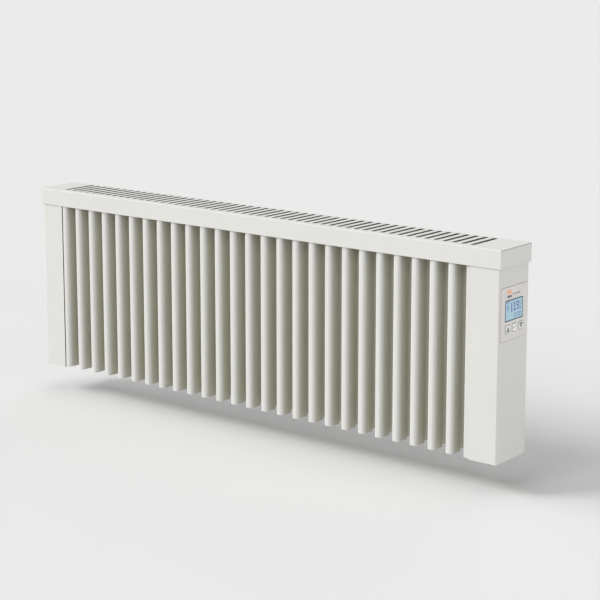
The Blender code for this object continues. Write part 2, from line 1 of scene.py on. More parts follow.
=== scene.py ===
"""Looks of a wall-hung electric storage heater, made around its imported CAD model.

Lengths are metres in the model's own frame: X along the heater with the controller at +X,
Y from the room to the wall, Z up.
"""

import math

import bmesh
import bpy
from mathutils import Matrix, Vector


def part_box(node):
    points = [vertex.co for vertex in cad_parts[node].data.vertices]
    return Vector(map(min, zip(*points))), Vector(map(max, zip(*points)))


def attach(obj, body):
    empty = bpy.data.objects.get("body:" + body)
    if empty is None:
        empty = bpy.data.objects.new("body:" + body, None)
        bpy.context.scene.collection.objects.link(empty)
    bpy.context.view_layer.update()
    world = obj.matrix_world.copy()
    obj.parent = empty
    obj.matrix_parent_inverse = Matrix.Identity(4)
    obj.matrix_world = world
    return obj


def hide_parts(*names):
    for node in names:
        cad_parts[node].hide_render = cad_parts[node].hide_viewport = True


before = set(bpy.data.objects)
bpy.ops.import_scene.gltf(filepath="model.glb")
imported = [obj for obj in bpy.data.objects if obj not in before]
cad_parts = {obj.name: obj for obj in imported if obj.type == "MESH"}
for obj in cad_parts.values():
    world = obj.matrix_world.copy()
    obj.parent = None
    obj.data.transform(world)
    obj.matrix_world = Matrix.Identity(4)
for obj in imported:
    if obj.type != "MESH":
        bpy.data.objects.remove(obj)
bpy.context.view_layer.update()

MM = 0.001
CIRCLE_STEPS = 24

# Vertices closer than this are one, and edges over these angles in degrees are bevelled or sharp
MERGE = 0.005 * MM
BEVEL_ANGLE = 50
SHARP_ANGLE = 40

# Sheet metal
SHEET = 1.2 * MM
THIN_SHEET = 1.0 * MM
SHEET_EDGE = 0.25 * MM
FOLD_STEPS = 6

# Places taken from the model
LID_LOW, LID_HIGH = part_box("top_grille")
CASE_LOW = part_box("left_end_cover")[0]
CASE_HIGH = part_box("right_end_cover")[1]
FRONT = LID_LOW.y
FIN_TWO_LOW, FIN_TWO_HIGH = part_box("fin_02")
FIN_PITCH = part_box("fin_03")[0].x - FIN_TWO_LOW.x
FIN_COUNT = 26

# Fins
FIN_WIDTH = 16.2 * MM
FIN_RADIUS = 6 * MM
END_FIN_RADIUS = 2.5 * MM
FIN_NOSE_STEPS = 12
FOOT_FILLET = 4 * MM
RELIEF_HEIGHT = 5 * MM
RELIEF_DEPTH = 4 * MM

# Lid
LID_SHEET = 0.8 * MM
LID_FOLD = 1.5 * MM
END_JOINT = 0.9 * MM
END_JOINT_DEPTH = 0.5 * MM
SLOT_WIDTH = 9.4 * MM
SLOT_NEAR = 15.5 * MM
SLOT_FAR = 99.5 * MM
SLOT_SHIFT = -5 * MM
SLOT_STEPS = 8
SLOT_LIP = 0.25 * MM

# End covers
CASE_FOLD = 2.2 * MM
CASE_FOLD_STEPS = 8
GLAND_CLEAR = 0.3 * MM

# Controller face and keys
FASCIA_SEAM = 0.5 * MM
FASCIA_RADIUS = 5 * MM
FASCIA_EDGE = 0.5 * MM
KEY_NAMES = ("key_up", "key_ok", "key_down")
KEY_CLEAR = 0.3 * MM
KEY_FLANGE = 1.3 * MM
KEY_LIP = 1.2 * MM
KEY_CORNER = 1.6 * MM
KEY_EDGE = 0.45 * MM
KEY_MARK_MARGIN = 1.6 * MM
KEY_MARK_LINE = 0.8 * MM
SYMBOL_SIZE = 5.9 * MM
SYMBOL_LINE = 1.6 * MM
SYMBOL_HOLE = 0.36
SYMBOL_FOOT = 0.8
TICK_SIZE = 3.8 * MM
INK = 0.06 * MM
LEAST_CORNER = 0.1 * MM

# Printed heat symbol and dashes, from the fascia's lower near corner
HEAT_MARK_WAVES = 3
HEAT_MARK_Y = 22.5 * MM
HEAT_MARK_Z = 84.5 * MM
HEAT_MARK_STEP = 5 * MM
HEAT_MARK_HEIGHT = 9 * MM
HEAT_MARK_SWING = 0.9 * MM
HEAT_MARK_LINE = 3.8 * MM
HEAT_MARK_TIP = 0.15
HEAT_MARK_STEPS = 16
HEAT_BASE_LOW = (20.5 * MM, 78.5 * MM)
HEAT_BASE_HIGH = (35.5 * MM, 82.5 * MM)
RULE_START = 40 * MM
RULE_DASH = 5 * MM
RULE_STEP = 6.4 * MM
RULE_DASHES = 4
RULE_Z = 82.4 * MM
RULE_LINE = 1.8 * MM

# Display, from the window's lower near corner
WINDOW_CORNER = 1 * MM
WINDOW_EDGE = 0.2 * MM
BORDER_LINE = 1.8 * MM
BIG_Z = 16.8 * MM
BIG_HEIGHT = 16 * MM
BIG_WIDTH = 10.6 * MM
BIG_LINE = 2.8 * MM
NINE_Y = 37.6 * MM
UNIT_Y = 51.6 * MM
UNIT_WIDTH = 5.6 * MM
UNIT_HEIGHT = 10 * MM
DEGREE_RADIUS = 1.9 * MM
DEGREE_BORE = 0.9 * MM
DOT_RADIUS = 0.6 * MM
SMALL_Y = 26.6 * MM
SMALL_Z = 4.4 * MM
SMALL_WIDTH = 5 * MM
SMALL_HEIGHT = 8.2 * MM
SMALL_LINE = 1.3 * MM
SMALL_STEP = 6.9 * MM
SMALL_COLON = 1.8 * MM
SMALL_TIME = "1230"
# Bars and small icons: near side, bottom, width and height
DISPLAY_BARS = (
    (20.4 * MM, 15.4 * MM, 3.2 * MM, 17 * MM),
    (31 * MM, 19 * MM, 2.7 * MM, 13.8 * MM),
    (28.4 * MM, 30 * MM, 3 * MM, 2 * MM),
    (27.6 * MM, 16.8 * MM, 8.4 * MM, 2.4 * MM),
    (3.6 * MM, 33.4 * MM, 3.2 * MM, 2 * MM),
    (8 * MM, 33.4 * MM, 3.2 * MM, 2 * MM),
    (12.4 * MM, 33.4 * MM, 2.4 * MM, 2 * MM),
    (8 * MM, 21.8 * MM, 2.4 * MM, 1.5 * MM),
    (8 * MM, 24.6 * MM, 2.4 * MM, 1.5 * MM),
)
BATTERY_LOW = (5.8 * MM, 19.8 * MM)
BATTERY_HIGH = (12.6 * MM, 29 * MM)
BATTERY_LINE = 0.8 * MM
SEGMENTS = {
    "0": "abcdef",
    "1": "bc",
    "2": "abged",
    "3": "abgcd",
    "9": "abcdfg",
    "c": "adef",
}

# Back and bottom
BEAD_HEIGHTS = (105 * MM, 185 * MM, 262 * MM)
BEAD_HALF = 4 * MM
BEAD_DEPTH = 0.7 * MM
BEAD_MARGIN = 60 * MM
SCREW_INSET = 8 * MM
SCREW_RADIUS = 3.6 * MM
SCREW_HEAD = 2.2 * MM
SCREW_STEPS = 24
SCREW_RIM = 0.35
SCREW_SHANK = 0.5
RECESS_REACH = 0.55
RECESS_LINE = 0.11
PANEL_SCREW_HEIGHTS = (20 * MM, 130 * MM, 240 * MM, 348 * MM)
RAIL_SHEET = 1.5 * MM
RAIL_LIP_BOTTOM = 317 * MM
RAIL_FOLD = 1 * MM
RAIL_SCREW_INSET = 20 * MM
RAIL_SCREW_RISE = 12 * MM
RAIL_SCREW_COUNT = 8
RAIL_SCREW_SCALE = 0.8
GLAND_BORE = 3.75 * MM
GLAND_BODY = 6.2 * MM
GLAND_NUT = 9 * MM
GLAND_SHOULDER = 1.2 * MM
GLAND_CROWN = 3.2 * MM
GLAND_NUT_BACK = 9.3 * MM
GLAND_CHAMFER = 0.5 * MM
GLAND_CROWN_CHAMFER = 1.4 * MM
GLAND_STEP = 0.6 * MM
GLAND_NUT_CHAMFER = (0.4 * MM, 0.3 * MM)
INLET_SLOT_NEAR = 41 * MM
INLET_SLOT_FAR = 97 * MM

# Paint: its colour in front, the painted shade it turns to deeper in the channels behind the lid's front
# face, and the dark primer inside, which also paints in the shade there
PAINT_COLOR = (0.56, 0.555, 0.53)
# Painted shade: the darker, warmer colour of the paint deep in the channels between the fins
CHANNEL_SHADE_COLOR = (0.5, 0.488, 0.41)
CHANNEL_SHADE_NEAR = 9.4 * MM
CHANNEL_SHADE_FAR = 12.8 * MM
CHANNEL_SHADE_DRIFT = 0.5 * MM
# Dark primer colour, near black so that it also paints in the shade inside the casing
PRIMER_SHADE_COLOR = (0.15, 0.138, 0.112)
PRIMER_SHADE_DEPTH = 0.9 * MM
LID_PRIMER_SHADE_DEPTH = 0.4 * MM

# Floor and lights
FLOOR_Z = -57 * MM
FLOOR_HALF = 60.0
FLOOR_COLOR = (0.585, 0.583, 0.58)
SKY_LIGHT = 0.36
SKY_SEEN = 0.81
WHITE = (1.0, 1.0, 1.0)
COOL = (0.98, 1.0, 1.03)
# Name, azimuth from +X and elevation of the light's place, size in degrees, strength, colour
LIGHTS = (
    ("key", 218, 38, 24, 2.4, WHITE),
    ("left_low", 182, 10, 24, 1.0, COOL),
    ("left_high", 188, 33, 24, 0.62, COOL),
    ("front", 260, 33, 24, 0.75, WHITE),
    ("front_low", 248, 10, 24, 0.32, WHITE),
    ("corner_low", 331, 10, 24, 0.44, WHITE),
    ("right_low", 20, 10, 24, 0.84, WHITE),
    ("right_high", 352, 33, 24, 0.4, WHITE),
    ("back", 102, 33, 24, 0.25, WHITE),
    ("top", 90, 82, 28, 0.31, WHITE),
)

# Camera: place, turn in degrees, focal length and shift
CAMERA_PLACE = (2.0896, -2.5133, 0.9429)
CAMERA_TURN = (80.359, 0.013, 38.510)
CAMERA_LENS = 99.14
CAMERA_SHIFT = -0.1411


def depth(distance):
    """Y of a point this far behind the lid's front face."""
    return FRONT + distance


def fin_center(index):
    """X of a fin's middle, counted from 0 at the left."""
    return (FIN_TWO_LOW.x + FIN_TWO_HIGH.x) / 2 + (index - 1) * FIN_PITCH


# Outlines


def arc(center, radius, start, end, steps):
    """Points on a circle from one angle to another, in degrees."""
    points = []
    for step in range(steps + 1):
        angle = math.radians(start + (end - start) * step / steps)
        points.append((center[0] + radius * math.cos(angle), center[1] + radius * math.sin(angle)))
    return points


def circle(center, radius, steps=CIRCLE_STEPS):
    """Points all round a circle."""
    return arc(center, radius, 0, 360 - 360 / steps, steps - 1)


def rounded(low, high, radius, steps=6):
    """Outline of a rectangle with round corners."""
    (a0, b0), (a1, b1) = low, high
    corners = (
        (a1 - radius, b1 - radius, 0),
        (a0 + radius, b1 - radius, 90),
        (a0 + radius, b0 + radius, 180),
        (a1 - radius, b0 + radius, 270),
    )
    points = []
    for a, b, start in corners:
        points += arc((a, b), radius, start, start + 90, steps)
    return points


def stadium(x, low, high, width):
    """Outline of a round-ended slot that runs along the second axis."""
    radius = width / 2
    far_end = arc((x, high - radius), radius, 0, 180, SLOT_STEPS)
    return far_end + arc((x, low + radius), radius, 180, 360, SLOT_STEPS)


def bent(corners, radius):
    """Open path through corners, with every inner corner turned on a radius."""
    path = [corners[0]]
    for before, corner, after in zip(corners, corners[1:], corners[2:]):
        corner = Vector(corner)
        to_before = (Vector(before) - corner).normalized()
        to_after = (Vector(after) - corner).normalized()
        half = to_before.angle(to_after) / 2
        center = corner + (to_before + to_after).normalized() * radius / math.sin(half)
        first = corner + to_before * radius / math.tan(half) - center
        last = corner + to_after * radius / math.tan(half) - center
        for step in range(FOLD_STEPS + 1):
            turn = Matrix.Rotation(-first.angle_signed(last) * step / FOLD_STEPS, 2)
            path.append(tuple(center + turn @ first))
    path.append(corners[-1])
    return path


# Solids

AXES = {"X": Vector((1, 0, 0)), "Y": Vector((0, 1, 0)), "Z": Vector((0, 0, 1))}
PLANES = {
    "X": Matrix(((0, 0, 1, 0), (1, 0, 0, 0), (0, 1, 0, 0), (0, 0, 0, 1))),
    "Y": Matrix(((1, 0, 0, 0), (0, 0, -1, 0), (0, 1, 0, 0), (0, 0, 0, 1))),
    "Z": Matrix.Identity(4),
}


def linked(name, data):
    """Object with this data, in the scene."""
    obj = bpy.data.objects.new(name, data)
    bpy.context.scene.collection.objects.link(obj)
    return obj


def from_bmesh(shape, name="solid"):
    """Object from a bmesh, which is freed."""
    mesh = bpy.data.meshes.new(name)
    shape.to_mesh(mesh)
    shape.free()
    return linked(name, mesh)


def applied(obj):
    """The object with its modifiers and its place made part of its mesh."""
    bpy.context.view_layer.update()
    evaluated = obj.evaluated_get(bpy.context.evaluated_depsgraph_get())
    mesh = bpy.data.meshes.new_from_object(evaluated)
    mesh.transform(obj.matrix_world)
    done = linked("solid", mesh)
    bpy.data.objects.remove(obj, do_unlink=True)
    return done


def extrusion(outlines, axis, low, high):
    """Solid with flat outlines, holes included, from low to high along an axis."""
    curve = bpy.data.curves.new("outline", "CURVE")
    curve.dimensions = "2D"
    curve.fill_mode = "BOTH"
    curve.extrude = (high - low) / 2
    for points in outlines:
        spline = curve.splines.new("POLY")
        spline.points.add(len(points) - 1)
        for point, (a, b) in zip(spline.points, points):
            point.co = (a, b, 0, 1)
        spline.use_cyclic_u = True
    guide = linked("outline", curve)
    guide.matrix_world = Matrix.Translation(AXES[axis] * (low + high) / 2) @ PLANES[axis]
    solid = applied(guide)
    shape = bmesh.new()
    shape.from_mesh(solid.data)
    bmesh.ops.remove_doubles(shape, verts=shape.verts, dist=MERGE)
    bmesh.ops.dissolve_limit(shape, angle_limit=math.radians(1), verts=shape.verts, edges=shape.edges)
    bmesh.ops.recalc_face_normals(shape, faces=shape.faces)
    shape.to_mesh(solid.data)
    shape.free()
    return solid


def box(low, high):
    """Plain block between two corners, to be cut and rounded."""
    low = Vector(low)
    high = Vector(high)
    shape = bmesh.new()
    bmesh.ops.create_cube(shape, size=1.0)
    bmesh.ops.scale(shape, vec=high - low, verts=shape.verts)
    bmesh.ops.translate(shape, vec=(low + high) / 2, verts=shape.verts)
    return from_bmesh(shape)


def sheet_strip(path, axis, low, high, thickness):
    """Sheet whose section is an open path, with its thickness on the path's right-hand side."""
    shape = bmesh.new()
    rows = []
    for along in (low, high):
        place = Matrix.Translation(AXES[axis] * along) @ PLANES[axis]
        rows.append([shape.verts.new(place @ Vector((a, b, 0))) for a, b in path])
    for i in range(len(path) - 1):
        shape.faces.new((rows[0][i], rows[0][i + 1], rows[1][i + 1], rows[1][i]))
    strip = from_bmesh(shape)
    solidify = strip.modifiers.new("sheet", "SOLIDIFY")
    solidify.thickness = thickness
    solidify.offset = -1
    solidify.use_even_offset = True
    return applied(strip)


def upright(a, b):
    """Whether an edge between two corners stands upright."""
    return abs(a.z - b.z) > SHEET


def clear_of_ends(a, b):
    """Whether a box's edge between two corners isn't one that runs along Y."""
    return abs(a.y - b.y) < SHEET


def sheet_box(low, high, open_sides, fold, steps, is_fold, thickness=SHEET):
    """Folded sheet box without some sides. is_fold says from an edge's corners whether it is rounded."""
    shell = box(low, high)
    shape = bmesh.new()
    shape.from_mesh(shell.data)
    gone = [
        face for face in shape.faces
        if any(face.normal.dot(Vector(side)) > 0.9 for side in open_sides)
    ]
    bmesh.ops.delete(shape, geom=gone, context="FACES")
    weights = shape.edges.layers.float.new("bevel_weight_edge")
    for edge in shape.edges:
        if not edge.is_boundary and is_fold(*[vert.co for vert in edge.verts]):
            edge[weights] = 1.0
    shape.to_mesh(shell.data)
    shape.free()
    bevel = shell.modifiers.new("folds", "BEVEL")
    bevel.limit_method = "WEIGHT"
    bevel.width = fold
    bevel.segments = steps
    solidify = shell.modifiers.new("sheet", "SOLIDIFY")
    solidify.thickness = thickness
    solidify.offset = -1
    solidify.use_even_offset = True
    return applied(shell)


def turned(profile, place, axis, steps):
    """Ring turned about an axis, from a closed section of (radius, distance along the axis)."""
    shape = bmesh.new()
    verts = [shape.verts.new((radius, 0, along)) for radius, along in profile]
    edges = [shape.edges.new((verts[i - 1], verts[i])) for i in range(len(verts))]
    bmesh.ops.spin(
        shape,
        geom=verts + edges,
        axis=(0, 0, 1),
        cent=(0, 0, 0),
        angle=math.tau,
        steps=steps,
        use_merge=True,
    )
    bmesh.ops.remove_doubles(shape, verts=shape.verts, dist=MERGE)
    bmesh.ops.recalc_face_normals(shape, faces=shape.faces)
    turn = AXES["Z"].rotation_difference(AXES[axis]).to_matrix().to_4x4()
    bmesh.ops.transform(shape, matrix=Matrix.Translation(Vector(place)) @ turn, verts=shape.verts)
    return from_bmesh(shape)


def cut(obj, *cutters):
    """The object less its cutters, which are removed."""
    for cutter in cutters:
        boolean = obj.modifiers.new("cut", "BOOLEAN")
        boolean.operation = "DIFFERENCE"
        boolean.solver = "EXACT"
        boolean.object = cutter
    obj = applied(obj)
    for cutter in cutters:
        bpy.data.objects.remove(cutter, do_unlink=True)
    return obj


def joined(parts):
    """One object from several, each left as it is."""
    shape = bmesh.new()
    for part in parts:
        part.data.transform(part.matrix_world)
        shape.from_mesh(part.data)
        bpy.data.objects.remove(part, do_unlink=True)
    return from_bmesh(shape)


def softened(obj, width, segments=2):
    """The object with its sharp edges rounded."""
    bevel = obj.modifiers.new("edges", "BEVEL")
    bevel.limit_method = "ANGLE"
    bevel.angle_limit = math.radians(BEVEL_ANGLE)
    bevel.width = width
    bevel.segments = segments
    bevel.use_clamp_overlap = False
    return applied(obj)


def piece(obj, name, body, slot, look, *nodes):
    """A finished piece: named, shaded, painted, hung on a CAD body and standing for CAD nodes."""
    obj.name = name
    obj.data.name = name
    obj.data.materials.clear()
    obj.data.materials.append(look)
    obj.data.shade_smooth()
    obj.data.set_sharp_from_angle(angle=math.radians(SHARP_ANGLE))
    weighted = obj.modifiers.new("normals", "WEIGHTED_NORMAL")
    weighted.keep_sharp = True
    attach(obj, body)
    if nodes:
        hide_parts(*nodes)
    return obj


# Materials


def socket(tree, target, value):
    """Feed an input: link a socket, or set a plain value."""
    if isinstance(value, bpy.types.NodeSocket):
        tree.links.new(value, target)
    else:
        target.default_value = value


def node(tree, kind, inputs=None, **settings):
    """Shader node of a kind, with settings and with inputs by name or number."""
    made = tree.nodes.new("ShaderNode" + kind)
    for name, value in settings.items():
        setattr(made, name, value)
    for name, value in (inputs or {}).items():
        socket(tree, made.inputs[name], value)
    return made


def noise(tree, where, scale, detail=2.0, roughness=0.5):
    """Noise from 0 to 1 at a scale in cells per metre."""
    inputs = {"Vector": where, "Scale": scale, "Detail": detail, "Roughness": roughness}
    return node(tree, "TexNoise", inputs).outputs["Fac"]


def cells(tree, where, scale, output="Distance"):
    """Voronoi pattern at a scale in cells per metre."""
    return node(tree, "TexVoronoi", {"Vector": where, "Scale": scale}).outputs[output]


def spread(tree, value, low, high, start=0.25, end=0.75):
    """A value from start to end, spread from low to high."""
    inputs = {"Value": value, "From Min": start, "From Max": end, "To Min": low, "To Max": high}
    return node(tree, "MapRange", inputs).outputs["Result"]


def mixed(tree, amount, first, second):
    """Colour between two, by an amount from 0 to 1."""
    made = node(tree, "Mix", data_type="RGBA")
    socket(tree, made.inputs["Factor"], amount)
    for name, color in (("A", first), ("B", second)):
        target = next(item for item in made.inputs if item.name == name and item.type == "RGBA")
        socket(tree, target, color if isinstance(color, bpy.types.NodeSocket) else (*color, 1.0))
    return next(item for item in made.outputs if item.type == "RGBA")


def bumps(tree, layers):
    """Normal from layers of (height, distance in metres), the broad ones first."""
    normal = None
    for height, distance in layers:
        inputs = {"Height": height, "Distance": distance, "Strength": 1.0}
        if normal is not None:
            inputs["Normal"] = normal
        normal = node(tree, "Bump", inputs).outputs["Normal"]
    return normal


def principled(name):
    """New material, its node tree, its Principled shader and its object coordinates."""
    made = bpy.data.materials.new(name)
    made.use_nodes = True
    tree = made.node_tree
    shader = tree.nodes["Principled BSDF"]
    where = node(tree, "TexCoord").outputs["Object"]
    return made, tree, shader, where


def stretched(tree, where, scale):
    """Coordinates squeezed by a factor along each axis, for grain that runs one way."""
    return node(tree, "Mapping", {"Vector": where, "Scale": scale}).outputs["Vector"]


def side_on(tree, where):
    """Coordinates turned so that a flat pattern lies on a face that looks along X."""
    turn = (0, math.pi / 2, math.pi / 2)
    return node(tree, "Mapping", {"Vector": where, "Rotation": turn}).outputs["Vector"]


def shade(color, factor):
    """A colour made lighter or darker."""
    return tuple(min(1.0, channel * factor) for channel in color)


def within(tree, where, low, high):
    """1 inside a box and 0 outside it."""
    axes = node(tree, "SeparateXYZ", {"Vector": where}).outputs
    amount = None
    for axis in range(3):
        for limit, compare in ((low[axis], "GREATER_THAN"), (high[axis], "LESS_THAN")):
            side = node(tree, "Math", {0: axes[axis], 1: limit}, operation=compare).outputs[0]
            if amount is None:
                amount = side
            else:
                amount = node(tree, "Math", {0: side, 1: amount}, operation="MULTIPLY").outputs[0]
    return amount


def powder_paint(name, color, channel_shade=None, inside=None):
    """Satin powder coat: orange peel, a faint cloudiness and an uneven gloss.

    With a channel shade colour, the paint turns to it deeper in the channels between the fins: painted
    shade for the dim channels.
    Inside a box, if one is given, there is only dark primer, mottled by heat and dark enough to paint in
    the shade inside.
    """
    made, tree, shader, where = principled(name)
    cloud = noise(tree, where, 9, 3)
    fleck = noise(tree, where, 420, 1)
    tint = mixed(tree, spread(tree, cloud, 0.0, 1.0), shade(color, 0.985), shade(color, 1.01))
    tint = mixed(tree, spread(tree, fleck, 0.0, 0.25), tint, shade(color, 0.96))
    # Painted shade: the paint darkens towards the channel shade colour deeper in the channels between the
    # fins, where shade falls
    if channel_shade:
        behind = node(tree, "SeparateXYZ", {"Vector": where}).outputs["Y"]
        drift = spread(tree, cloud, -CHANNEL_SHADE_DRIFT, CHANNEL_SHADE_DRIFT)
        uneven = node(tree, "Math", {0: behind, 1: drift}, operation="ADD").outputs[0]
        channel_shade_amount = spread(tree, uneven, 0.0, 1.0, depth(CHANNEL_SHADE_NEAR), depth(CHANNEL_SHADE_FAR))
        tint = mixed(tree, channel_shade_amount, tint, channel_shade)
    # Painted shade: near-black primer on the inside faces stands for the shade inside the casing
    if inside:
        mottle = spread(tree, cloud, 0.0, 1.0)
        primer_shade = mixed(tree, mottle, shade(PRIMER_SHADE_COLOR, 0.85), shade(PRIMER_SHADE_COLOR, 1.15))
        tint = mixed(tree, within(tree, where, *inside), tint, primer_shade)
    socket(tree, shader.inputs["Base Color"], tint)
    socket(tree, shader.inputs["Roughness"], spread(tree, noise(tree, where, 160, 3), 0.42, 0.54))
    peel = noise(tree, where, 750, 2, 0.4)
    sag = noise(tree, where, 22, 1)
    socket(tree, shader.inputs["Normal"], bumps(tree, [(sag, 0.12 * MM), (peel, 0.018 * MM)]))
    shader.inputs["Specular IOR Level"].default_value = 0.42
    return made


def zinc_coat(name):
    """Hot-dip galvanised steel: spangle crystals of different brightness and a dull bloom."""
    made, tree, shader, where = principled(name)
    crystal = cells(tree, where, 140, output="Color")
    level = node(tree, "SeparateColor", {"Color": crystal}).outputs["Red"]
    bloom = noise(tree, where, 35, 4, 0.6)
    tint = mixed(tree, level, (0.46, 0.48, 0.50), (0.58, 0.60, 0.62))
    tint = mixed(tree, spread(tree, bloom, 0.0, 0.5), tint, (0.55, 0.56, 0.56))
    socket(tree, shader.inputs["Base Color"], tint)
    socket(tree, shader.inputs["Roughness"], spread(tree, level, 0.32, 0.5, 0.0, 1.0))
    socket(tree, shader.inputs["Normal"], bumps(tree, [(level, 0.01 * MM), (bloom, 0.05 * MM)]))
    shader.inputs["Metallic"].default_value = 0.85
    return made


def rolled_aluminium(name):
    """Bright rolled sheet with fine streaks along X and slight waves."""
    made, tree, shader, where = principled(name)
    streak = noise(tree, stretched(tree, where, (4, 300, 300)), 6, 4, 0.7)
    wave = noise(tree, where, 18, 2)
    socket(tree, shader.inputs["Base Color"], mixed(tree, streak, (0.70, 0.71, 0.72), (0.86, 0.87, 0.88)))
    socket(tree, shader.inputs["Roughness"], spread(tree, streak, 0.18, 0.34))
    socket(tree, shader.inputs["Normal"], bumps(tree, [(wave, 0.5 * MM), (streak, 0.01 * MM)]))
    shader.inputs["Metallic"].default_value = 1.0
    return made


def fired_clay(name):
    """Pressed fireclay: buff and rust grains, dark specks and small pores."""
    made, tree, shader, where = principled(name)
    patch = noise(tree, where, 30, 4, 0.6)
    grain = cells(tree, where, 700)
    speck = noise(tree, where, 260, 2)
    tint = mixed(tree, spread(tree, patch, 0.0, 1.0), (0.50, 0.27, 0.16), (0.62, 0.40, 0.26))
    tint = mixed(tree, spread(tree, speck, 0.0, 0.8, 0.58, 0.72), tint, (0.16, 0.10, 0.07))
    socket(tree, shader.inputs["Base Color"], tint)
    socket(tree, shader.inputs["Roughness"], spread(tree, grain, 0.82, 0.98, 0.0, 0.6))
    socket(tree, shader.inputs["Normal"], bumps(tree, [(patch, 0.5 * MM), (grain, 0.2 * MM)]))
    shader.inputs["Specular IOR Level"].default_value = 0.25
    return made


def oxidised_tube(name):
    """Heating element sheath: brown and blue-grey temper colours on drawn steel."""
    made, tree, shader, where = principled(name)
    temper = noise(tree, where, 16, 3)
    draw = noise(tree, stretched(tree, where, (3, 400, 400)), 5, 3, 0.6)
    tint = mixed(tree, spread(tree, temper, 0.0, 1.0), (0.20, 0.17, 0.15), (0.27, 0.28, 0.31))
    socket(tree, shader.inputs["Base Color"], tint)
    socket(tree, shader.inputs["Roughness"], spread(tree, draw, 0.36, 0.56))
    socket(tree, shader.inputs["Normal"], bumps(tree, [(draw, 0.02 * MM)]))
    shader.inputs["Metallic"].default_value = 0.85
    return made


def moulded(name, color, roughness, grain=900, depth_of_grain=0.012 * MM):
    """Moulded plastic or rubber with a fine spark-eroded texture and faint flow marks."""
    made, tree, shader, where = principled(name)
    flow = noise(tree, where, 45, 3)
    texture = noise(tree, where, grain, 2)
    tint = mixed(tree, spread(tree, flow, 0.0, 1.0), shade(color, 0.97), shade(color, 1.03))
    socket(tree, shader.inputs["Base Color"], tint)
    socket(tree, shader.inputs["Roughness"], spread(tree, texture, roughness - 0.06, roughness + 0.06))
    socket(tree, shader.inputs["Normal"], bumps(tree, [(texture, depth_of_grain)]))
    return made


def liquid_crystal(name, color):
    """Lit-by-daylight display face: a cool gradient under a clear glossy pane."""
    made, tree, shader, where = principled(name)
    glow = noise(tree, where, 28, 1)
    grid = node(tree, "TexBrick", {"Vector": side_on(tree, where), "Scale": 600.0}).outputs["Fac"]
    tint = mixed(tree, spread(tree, glow, 0.0, 1.0), shade(color, 0.96), shade(color, 1.04))
    tint = mixed(tree, grid, tint, shade(color, 0.98))
    socket(tree, shader.inputs["Base Color"], tint)
    socket(tree, shader.inputs["Roughness"], spread(tree, noise(tree, where, 300, 2), 0.25, 0.4))
    shader.inputs["Coat Weight"].default_value = 0.6
    shader.inputs["Coat Roughness"].default_value = 0.06
    return made


def circuit_board(name):
    """Green solder mask with lighter copper runs under it."""
    made, tree, shader, where = principled(name)
    runs = node(
        tree, "TexBrick", {"Vector": side_on(tree, where), "Scale": 140.0, "Mortar Size": 0.08}
    ).outputs["Fac"]
    weave = noise(tree, where, 1200, 1)
    tint = mixed(tree, runs, (0.02, 0.16, 0.07), (0.06, 0.30, 0.14))
    socket(tree, shader.inputs["Base Color"], tint)
    socket(tree, shader.inputs["Roughness"], spread(tree, weave, 0.25, 0.38))
    socket(tree, shader.inputs["Normal"], bumps(tree, [(runs, 0.03 * MM)]))
    return made


# Boxes in which faces have only dark primer, which also paints in the shade inside: inside the lid, and
# inside the covers and the back
LID_INSIDE = (
    LID_LOW + Vector((LID_PRIMER_SHADE_DEPTH, LID_PRIMER_SHADE_DEPTH, -SHEET)),
    LID_HIGH - Vector((LID_PRIMER_SHADE_DEPTH, LID_PRIMER_SHADE_DEPTH, LID_PRIMER_SHADE_DEPTH)),
)
CASE_INSIDE = (
    CASE_LOW + Vector((PRIMER_SHADE_DEPTH, PRIMER_SHADE_DEPTH, -SHEET)),
    CASE_HIGH + Vector((-PRIMER_SHADE_DEPTH, -PRIMER_SHADE_DEPTH, SHEET)),
)

PAINT = powder_paint("powder_paint", PAINT_COLOR)
LID_PAINT = powder_paint("lid_paint", PAINT_COLOR, inside=LID_INSIDE)
COVER_PAINT = powder_paint("cover_paint", PAINT_COLOR, inside=CASE_INSIDE)
# Fin and front plate paint, with painted shade deeper in the channels
FIN_CHANNEL_SHADE_PAINT = powder_paint("fin_paint_channel_shade", PAINT_COLOR, CHANNEL_SHADE_COLOR)
ZINC = zinc_coat("zinc_coat")
ALUMINIUM = rolled_aluminium("rolled_aluminium")
CLAY = fired_clay("fired_clay")
SHEATH = oxidised_tube("element_sheath")
FASCIA_FILM = moulded("fascia_film", (0.58, 0.56, 0.545), 0.5, 1400, 0.006 * MM)
KEY_PLASTIC = moulded("key_plastic", (0.78, 0.785, 0.785), 0.42)
DARK_PLASTIC = moulded("dark_plastic", (0.045, 0.045, 0.05), 0.5)
SILICONE = moulded("silicone_rubber", (0.33, 0.34, 0.36), 0.7)
CERAMIC = moulded("steatite", (0.83, 0.80, 0.73), 0.32, 500)
INSULATION = moulded("lead_insulation", (0.50, 0.09, 0.06), 0.48)
BOARD = circuit_board("circuit_board")
DISPLAY_BLUE = liquid_crystal("display_blue", (0.315, 0.515, 0.61))
BEZEL_INK = moulded("bezel_ink", (0.055, 0.065, 0.08), 0.4)
SEGMENT_INK = moulded("segment_ink", (0.13, 0.11, 0.36), 0.35)
GREY_INK = moulded("grey_ink", (0.12, 0.125, 0.12), 0.5)
WHITE_INK = moulded("white_ink", (0.78, 0.785, 0.785), 0.45)
BLACK_INK = moulded("black_ink", (0.025, 0.025, 0.028), 0.5)
ORANGE_INK = moulded("orange_ink", (0.78, 0.33, 0.12), 0.5)


# Lid


